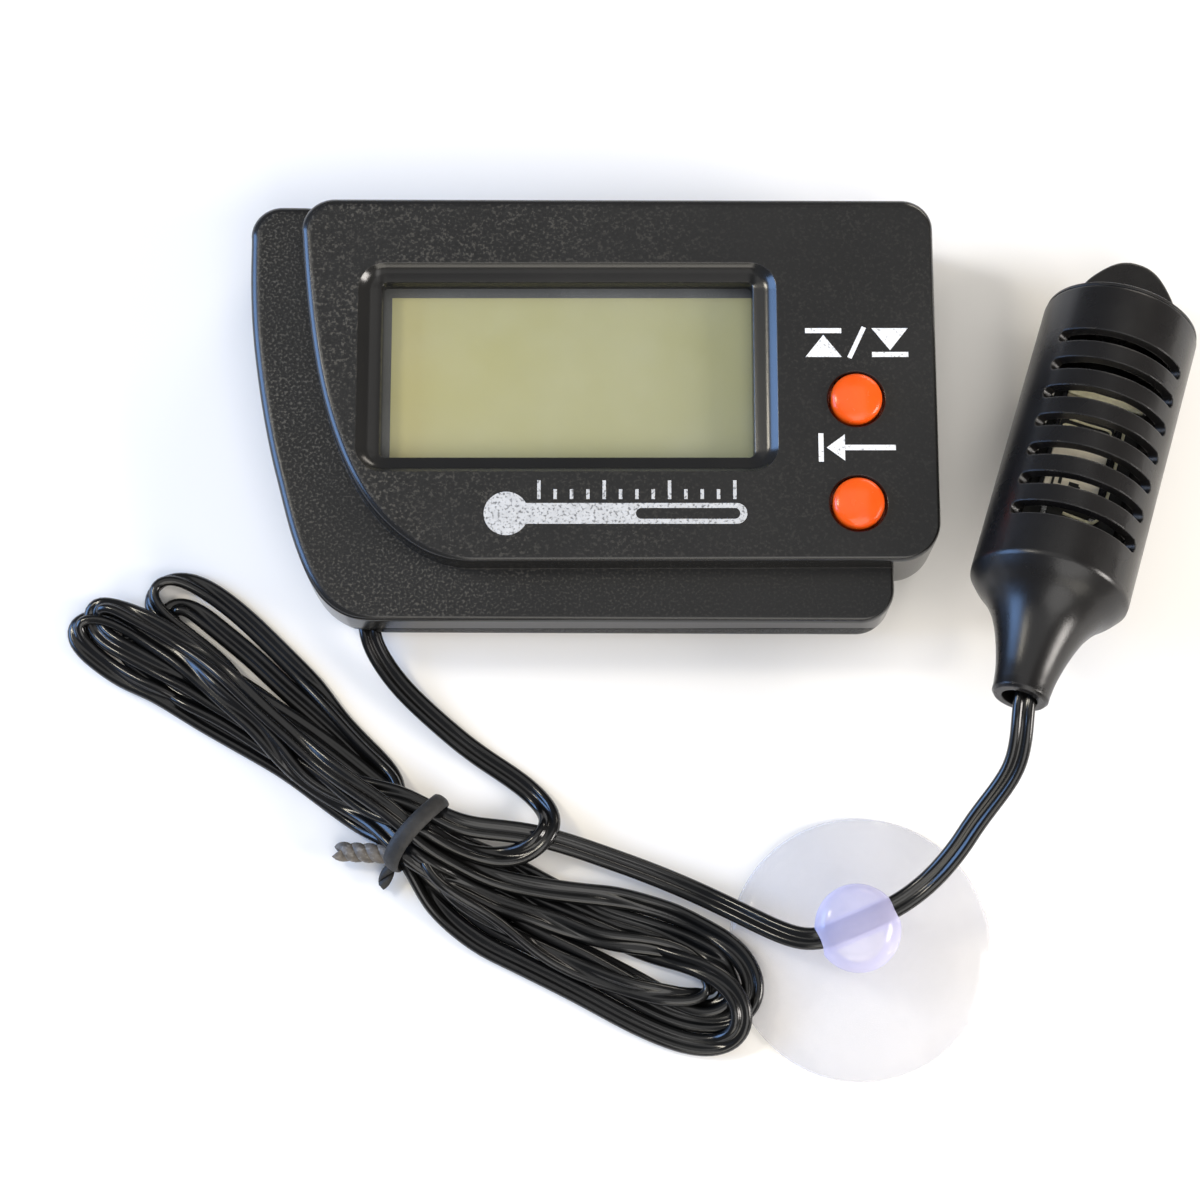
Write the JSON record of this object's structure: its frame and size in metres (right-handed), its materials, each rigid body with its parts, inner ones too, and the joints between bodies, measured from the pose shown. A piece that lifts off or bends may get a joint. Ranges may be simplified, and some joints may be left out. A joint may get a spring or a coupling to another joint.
{
  "type": "maximum minimum thermometer",
  "caption": "Digital maximum-minimum thermometer: two-layer case with display and buttons, bundled lead, suction cup and slotted remote probe.",
  "frame": {"origin": "centre of the flat back face of the case, which lies on the table", "axes": "+Z out of the display face; +X towards the button side; +Y towards the top edge of the display"},
  "size_m": [0.1144, 0.0875, 0.0214],
  "materials": {
    "shell": "charcoal ABS with a fine moulded spark texture",
    "orange": "satin orange plastic caps",
    "window": "clear acrylic pane",
    "lcd": "olive reflective liquid crystal glass",
    "reflector": "reflective film",
    "elastomer": "striped conductive elastomer",
    "pcb": "green solder mask on glass epoxy",
    "epoxy": "black epoxy and black nylon",
    "steel": "nickel-plated steel",
    "ceramic": "ceramic chip with tinned ends",
    "cable": "glossy black PVC insulation",
    "tie": "dull plastic-coated wire, scuffed at the twist",
    "clear_pvc": "clear soft PVC with a faint lavender cast",
    "probe_plastic": "satin black ABS",
    "sensor": "cream coated ceramic plate with printed comb electrodes",
    "bead": "dark epoxy-dipped bead"
  },
  "bodies": {
    "root": {"front_shell": "shell", "rear_shell": "shell", "display_window": "window", "lcd_cell": "lcd", "lcd_reflector": "reflector", "zebra_strip": "elastomer", "circuit_board": "pcb", "controller_blob": "epoxy", "crystal_can": "steel", "board_capacitor": "ceramic", "board_screw_1": "steel", "board_screw_2": "steel", "max_min_switch": "epoxy", "clear_switch": "epoxy", "battery_cell_1": "steel", "battery_cell_2": "steel", "contact_positive": "steel", "contact_negative": "steel", "case_screw_1": "steel", "case_screw_2": "steel", "case_screw_3": "steel", "case_screw_4": "steel", "cable": "cable", "cable_grommet": "cable", "twist_tie": "tie"},
    "max_min_key": {"max_min_button": "orange", "max_min_switch_plunger": "steel"},
    "clear_key": {"clear_button": "orange", "clear_switch_plunger": "steel"},
    "battery_cover": {"battery_door": "shell", "contact_bridge": "steel"},
    "cup": {"suction_cup": "clear_pvc"},
    "probe": {"probe_lead": "cable", "probe_barrel": "probe_plastic", "probe_end_cap": "probe_plastic", "probe_board": "pcb", "humidity_sensor": "sensor", "sensor_frame": "epoxy", "sensor_pin_1": "steel", "sensor_pin_2": "steel", "thermistor": "bead", "probe_resistor": "ceramic"}
  },
  "joints": [
    {"name": "max_min_press", "type": "slide", "parent": "root", "child": "max_min_key", "axis": [0, 0, -1], "range_m": [0, 0.0005], "stiffness_N_per_m": 600},
    {"name": "clear_press", "type": "slide", "parent": "root", "child": "clear_key", "axis": [0, 0, -1], "range_m": [0, 0.0005], "stiffness_N_per_m": 600},
    {"name": "battery_door_slide", "type": "slide", "parent": "root", "child": "battery_cover", "axis": [0, -1, 0], "range_m": [0, 0.006]},
    {"name": "suction_cup_swivel", "type": "hinge", "parent": "root", "child": "cup", "pos_m": [0.02595, -0.0504, 0.0067], "axis": [0.9221, 0.387, 0], "range_deg": [-3, 10]},
    {"name": "probe_swing", "type": "hinge", "parent": "root", "child": "probe", "pos_m": [0.03691, -0.04129, 0.01059], "axis": [0, 0, 1], "range_deg": [-30, 4]}
  ]
}
